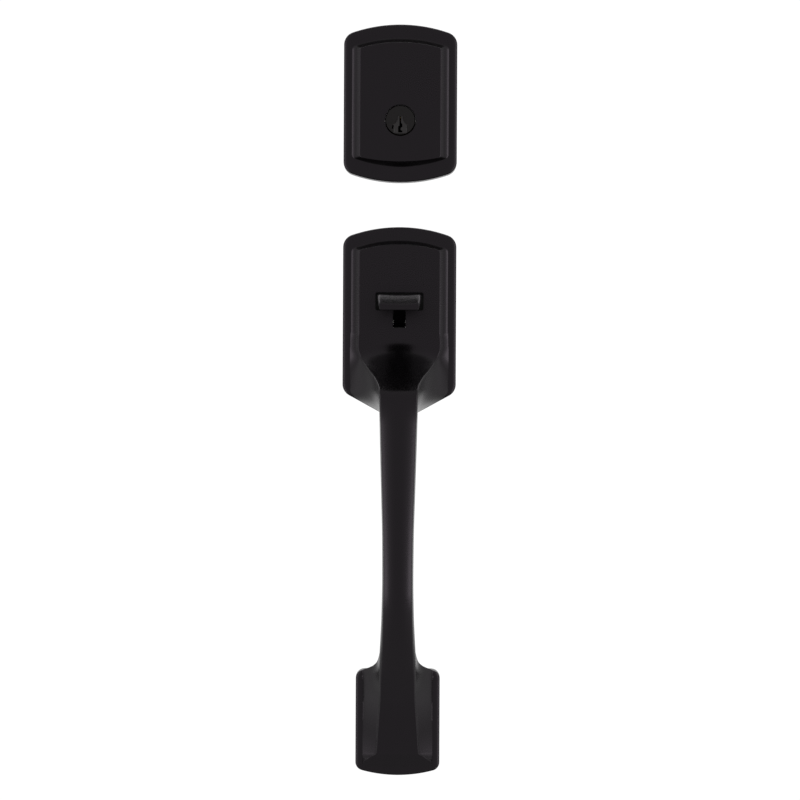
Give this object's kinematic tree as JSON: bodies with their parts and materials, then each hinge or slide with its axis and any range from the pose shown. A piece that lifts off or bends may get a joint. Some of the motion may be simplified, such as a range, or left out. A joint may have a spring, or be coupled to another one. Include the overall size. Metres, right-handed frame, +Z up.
{
  "type": "entrance handleset with deadbolt",
  "caption": "Outside trim of an entrance door lock: keyed deadbolt rose over an arched escutcheon with thumb latch, long tapering grip and foot, matte black.",
  "frame": {"origin": "on the door's outside face, on the centre line of the latch bore and latch spindle", "axes": "+Z up along the door, +Y into the door, -Y out towards the visitor, +X to the right seen from outside"},
  "size_m": [0.07, 0.1214, 0.4635],
  "materials": {
    "matte_black": "fine matte powder coat",
    "cylinder_face": "dark satin, turned",
    "brass": "machined",
    "zinc": "die-cast zinc alloy, tumbled",
    "plated_steel": "zinc plated, satin",
    "bright_steel": "nickel plated, bright",
    "black_steel": "stamped, black electrocoat",
    "seal_rubber": "soft, matte",
    "nylon": "natural moulded nylon"
  },
  "bodies": {
    "trim": {"deadbolt_rose": "matte_black", "handle_casting": "matte_black", "spring_cover": "brass", "cylinder_housing": "zinc", "handle_plate": "black_steel", "thumb_bracket": "black_steel", "deadbolt_plate": "plated_steel", "deadbolt_post_left": "plated_steel", "deadbolt_post_right": "plated_steel", "handle_post_left": "plated_steel", "handle_post_right": "plated_steel", "foot_post": "plated_steel", "thumb_pin": "bright_steel", "drill_guard_left": "bright_steel", "drill_guard_right": "bright_steel", "thumb_spring": "bright_steel", "spindle_spring": "bright_steel", "bracket_screw_1": "bright_steel", "bracket_screw_2": "bright_steel", "pin_spring_1": "bright_steel", "pin_spring_2": "bright_steel", "pin_spring_3": "bright_steel", "pin_spring_4": "bright_steel", "pin_spring_5": "bright_steel", "plate_screw_1": "bright_steel", "plate_screw_2": "bright_steel", "plate_screw_3": "bright_steel", "plate_screw_4": "bright_steel", "deadbolt_gasket": "seal_rubber", "handle_gasket": "seal_rubber", "foot_gasket": "seal_rubber", "bore_adapter": "nylon", "spindle_bushing": "nylon"},
    "cylinder_plug": {"plug": "brass", "plug_face": "cylinder_face", "plug_clip": "bright_steel", "deadbolt_tailpiece": "plated_steel"},
    "thumb_lever": {"thumbpiece": "matte_black"},
    "spindle": {"latch_spindle": "plated_steel", "lift_lever": "plated_steel", "spindle_clip": "bright_steel"},
    "key_pin_1": {"key_pin_1": "brass"},
    "driver_pin_1": {"driver_pin_1": "bright_steel"},
    "key_pin_2": {"key_pin_2": "brass"},
    "driver_pin_2": {"driver_pin_2": "bright_steel"},
    "key_pin_3": {"key_pin_3": "brass"},
    "driver_pin_3": {"driver_pin_3": "bright_steel"},
    "key_pin_4": {"key_pin_4": "brass"},
    "driver_pin_4": {"driver_pin_4": "bright_steel"},
    "key_pin_5": {"key_pin_5": "brass"},
    "driver_pin_5": {"driver_pin_5": "bright_steel"}
  },
  "joints": [
    {"name": "key_turn", "type": "hinge", "parent": "trim", "child": "cylinder_plug", "pos_m": [0, 0, 0.1397], "axis": [0, -1, 0], "range_deg": [-90, 90]},
    {"name": "thumb_press", "type": "hinge", "parent": "trim", "child": "thumb_lever", "pos_m": [0, -0.0075, 0.016], "axis": [1, 0, 0], "range_deg": [0, 20], "stiffness_Nm_per_rad": 0.6, "springref_deg": -17.19, "deforming": ["thumb_spring"]},
    {"name": "spindle_turn", "type": "hinge", "parent": "trim", "child": "spindle", "pos_m": [0, 0, 0], "axis": [0, -1, 0], "range_deg": [0, 32], "stiffness_Nm_per_rad": 0.05, "springref_deg": -17.19, "deforming": ["spindle_spring"]},
    {"name": "key_pin_1_drop", "type": "slide", "parent": "cylinder_plug", "child": "key_pin_1", "axis": [0, 0, 1], "range_m": [-0.0029, 0]},
    {"name": "key_pin_2_drop", "type": "slide", "parent": "cylinder_plug", "child": "key_pin_2", "axis": [0, 0, 1], "range_m": [-0.0041, 0]},
    {"name": "key_pin_3_drop", "type": "slide", "parent": "cylinder_plug", "child": "key_pin_3", "axis": [0, 0, 1], "range_m": [-0.0021, 0]},
    {"name": "key_pin_4_drop", "type": "slide", "parent": "cylinder_plug", "child": "key_pin_4", "axis": [0, 0, 1], "range_m": [-0.0035, 0]},
    {"name": "key_pin_5_drop", "type": "slide", "parent": "cylinder_plug", "child": "key_pin_5", "axis": [0, 0, 1], "range_m": [-0.0025, 0]},
    {"name": "driver_pin_1_lift", "type": "slide", "parent": "trim", "child": "driver_pin_1", "axis": [0, 0, 1], "range_m": [0, 0.0035], "stiffness_N_per_m": 120, "springref_m": -0.002, "deforming": ["pin_spring_1"]},
    {"name": "driver_pin_2_lift", "type": "slide", "parent": "trim", "child": "driver_pin_2", "axis": [0, 0, 1], "range_m": [0, 0.0035], "stiffness_N_per_m": 120, "springref_m": -0.002, "deforming": ["pin_spring_2"]},
    {"name": "driver_pin_3_lift", "type": "slide", "parent": "trim", "child": "driver_pin_3", "axis": [0, 0, 1], "range_m": [0, 0.0035], "stiffness_N_per_m": 120, "springref_m": -0.002, "deforming": ["pin_spring_3"]},
    {"name": "driver_pin_4_lift", "type": "slide", "parent": "trim", "child": "driver_pin_4", "axis": [0, 0, 1], "range_m": [0, 0.0035], "stiffness_N_per_m": 120, "springref_m": -0.002, "deforming": ["pin_spring_4"]},
    {"name": "driver_pin_5_lift", "type": "slide", "parent": "trim", "child": "driver_pin_5", "axis": [0, 0, 1], "range_m": [0, 0.0035], "stiffness_N_per_m": 120, "springref_m": -0.002, "deforming": ["pin_spring_5"]}
  ],
  "couplings": [
    {"joint": "spindle_turn", "follows": "thumb_press", "ratio": 1.6}
  ]
}
